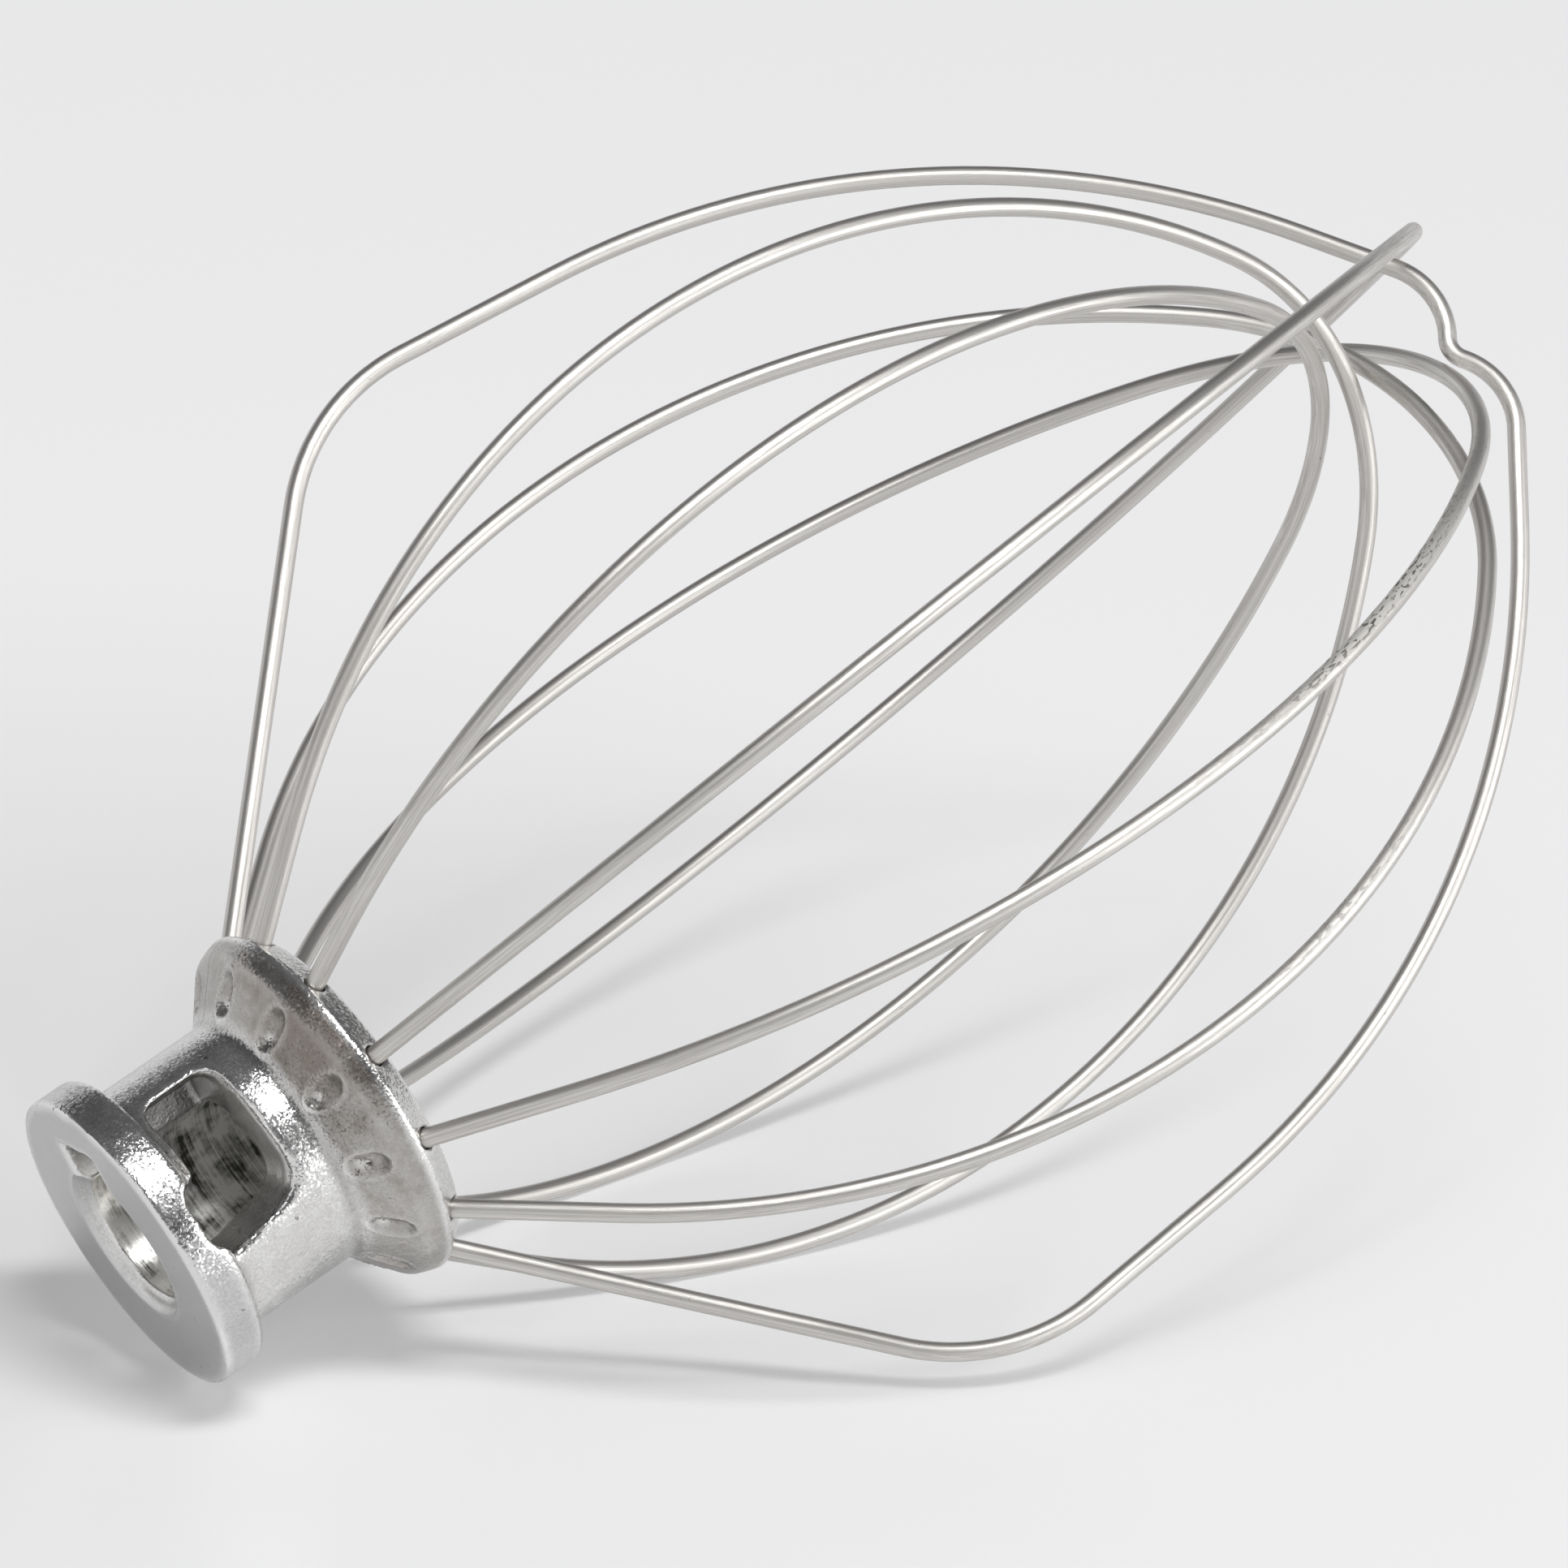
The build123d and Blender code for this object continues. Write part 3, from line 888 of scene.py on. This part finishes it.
def addHub():
    piece = roundedCopy("hub")
    mesh = piece.data
    turn = np.array(whiskTurn)
    edges = np.empty(len(mesh.edges) * 2, np.int32)
    mesh.edges.foreach_get("vertices", edges)
    edges = edges.reshape(-1, 2)
    local = (vertexValues(mesh, "co") - np.array(whiskPlace)) @ turn / mm
    radius, angle = np.hypot(local[:, 0], local[:, 1]), np.arctan2(local[:, 1], local[:, 0])
    local = openMouth(rollWindow(local, angle, radius, local[:, 2], edges))
    radius, height = np.hypot(local[:, 0], local[:, 1]), local[:, 2].copy()
    masks = hubMasks(angle, radius, height)
    normals = vertexValues(mesh, "normal") @ turn
    waves = np.array([noise.noise(Vector(place) / hubCasting["waveLength"]) for place in local])
    waves = waves * hubCasting["waveHeight"] * (1 - masks["bore"]) * (1 - masks["face"])
    local += normals * waves[:, None]
    local, masks["punch"] = pressStakes(local, angle, radius, height)
    # Curvature: the finish paints highlights on crests and shade in hollows
    bulge = ((local - neighbourMean(local, edges)) * normals).sum(1)
    for _ in range(hubCasting["bulgeSteps"]):
        bulge = neighbourMean(bulge, edges)
    masks["crest"] = np.clip(bulge / hubCasting["bulgeFull"], 0, 1)
    masks["hollow"] = np.clip(-bulge / hubCasting["bulgeFull"], 0, 1)
    # Painted shade in the gap round each wire's end
    masks["socket"] = 1 - fade(wireGap(local), *hubCasting["socketGap"])
    masks["socket"] *= fade(height, *hubCasting["socketHeights"])
    places = local @ turn.T * mm + np.array(whiskPlace)
    mesh.vertices.foreach_set("co", places.astype(np.float32).ravel())
    mesh.update()
    for name, values in masks.items():
        storeValues(mesh, name, values)
    coords = mesh.attributes.new("axisCoord", "FLOAT_VECTOR", "POINT")
    coords.data.foreach_set("vector", local.astype(np.float32).ravel())
    mesh.materials.append(castMaterial())
    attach(piece, "root")
    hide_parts("hub")


addHub()
print("stage: hub")


# Pale table, soft boxes and the dark room behind them
studio = {
    "table": (0.93, 0.93, 0.935, 1),
    "tableShown": (0.88, 0.88, 0.888, 1),
    "tableShare": (0.25, 0.84),
    "shareCentre": (-0.052, 0.005, 0.0),
    "shareReach": (0.015, 0.17),
    "tableRoughness": (0.28, 0.4),
    "tableGrain": (9.0, 3.0),
    "tableHalf": 3.0,
    "dark": (0.075, 0.075, 0.078, 1),
    "ceiling": (0.16, 0.16, 0.165, 1),
    "skySteps": (0.20, 0.38, 0.95),
    "lamps": {  # place, width, depth and level
        "overhead": ((-0.09, -0.18, 0.52), 0.26, 0.105, 19.0),
        "front": ((0.31, -0.48, 0.25), 0.50, 0.36, 2.9),
        "left": ((-0.55, -0.12, 0.34), 0.30, 0.30, 0.9),
    },
    "aim": (-0.01, 0.0, 0.03),
}


def seenDirectly(tree):
    path = addNode(tree, "LightPath")
    seen = worked(tree, "MAXIMUM", path.outputs["Is Camera Ray"], path.outputs["Is Glossy Ray"])
    return worked(tree, "MAXIMUM", seen, path.outputs["Is Transmission Ray"])


def addTable():
    half = studio["tableHalf"]
    corners = [(-half, -half, 0), (half, -half, 0), (half, half, 0), (-half, half, 0)]
    mesh = bpy.data.meshes.new("table")
    mesh.from_pydata(corners, [], [(0, 1, 2, 3)])
    piece = linked("table", mesh)
    material, tree, surface = newMaterial("paleTable")
    coords = addNode(tree, "TexCoord").outputs["Object"]
    rough = mottled(tree, coords, *studio["tableGrain"], *studio["tableRoughness"])
    feed(tree, rough, surface, "Roughness")
    surface.inputs["Base Color"].default_value = studio["table"]
    shown = addNode(tree, "Emission", Color=studio["tableShown"], Strength=1.0)
    mixed = tree.nodes.new("ShaderNodeMixShader")
    distance = vectorWorked(tree, "DISTANCE", coords, studio["shareCentre"], result="Value")
    (near, far), (least, most) = studio["shareReach"], studio["tableShare"]
    span = {"From Min": near, "From Max": far, "To Min": least, "To Max": most}
    share = addNode(tree, "MapRange", interpolation_type="SMOOTHSTEP", **span)
    feed(tree, distance, share, "Value")
    pale = worked(tree, "MULTIPLY", seenDirectly(tree), share.outputs["Result"])
    for socket, source in enumerate((pale, surface.outputs["BSDF"], shown.outputs["Emission"])):
        feed(tree, source, mixed, socket)
    feed(tree, mixed.outputs["Shader"], tree.nodes["Material Output"], "Surface")
    mesh.materials.append(material)


def addLamps():
    for name, (place, width, depth, level) in studio["lamps"].items():
        data = bpy.data.lights.new(name, "AREA")
        data.shape = "RECTANGLE"
        data.size, data.size_y = width, depth
        data.energy = level * pi * width * depth
        piece = linked(name, data)
        piece.location = place
        piece.rotation_mode = "QUATERNION"
        piece.rotation_quaternion = (Vector(studio["aim"]) - Vector(place)).to_track_quat("-Z", "Y")


def addWorld():
    world = bpy.data.worlds.new("studio")
    bpy.context.scene.world = world
    world.use_nodes = True
    tree = world.node_tree
    way = addNode(tree, "SeparateXYZ")
    feed(tree, addNode(tree, "TexCoord").outputs["Generated"], way, "Vector")
    ramp = addNode(tree, "ValToRGB")
    feed(tree, way.outputs["Z"], ramp, "Fac")
    tableEnd, darkStart, ceilingStart = studio["skySteps"]
    first, second = ramp.color_ramp.elements
    first.position, first.color = tableEnd, studio["tableShown"]
    second.position, second.color = darkStart, studio["dark"]
    top = ramp.color_ramp.elements.new(ceilingStart)
    top.color = studio["ceiling"]
    feed(tree, ramp.outputs["Color"], tree.nodes["Background"], "Color")


addTable()
addLamps()
addWorld()
bpy.context.scene.view_settings.view_transform = "Standard"
print("stage: studio")
